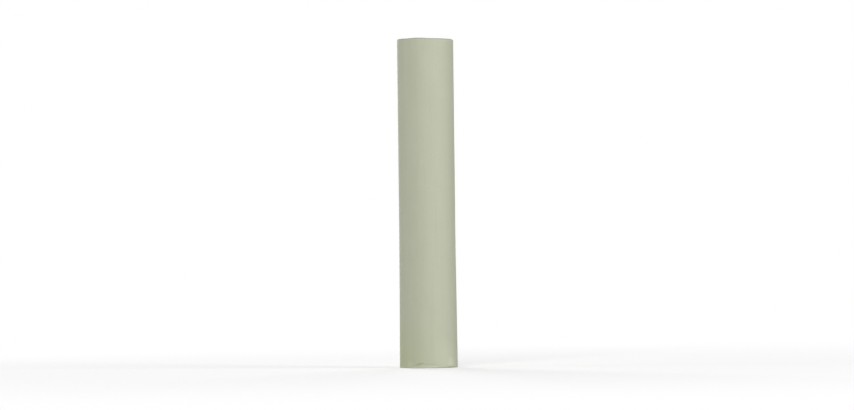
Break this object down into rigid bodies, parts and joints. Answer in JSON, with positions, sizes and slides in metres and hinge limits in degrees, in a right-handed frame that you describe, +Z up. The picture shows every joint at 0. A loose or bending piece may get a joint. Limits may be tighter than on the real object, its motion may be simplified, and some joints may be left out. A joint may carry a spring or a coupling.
{
  "type": "soft pastel stick",
  "caption": "Round stick of soft pastel for drawing, pale sage green, bare, with square cut ends; stands on its slightly spread foot",
  "frame": {"origin": "middle of the foot, the cut end that the stick stands on, at the level of the surface under it", "axes": "+Z up along the stick's own axis; -Y is the front, the side with the shallow crescent above the foot; +X to the right seen from the front"},
  "size_m": [0.0124, 0.0124, 0.07],
  "materials": {
    "pastel": "matte"
  },
  "bodies": {
    "root": {"pastel_stick": "pastel"}
  },
  "joints": []
}
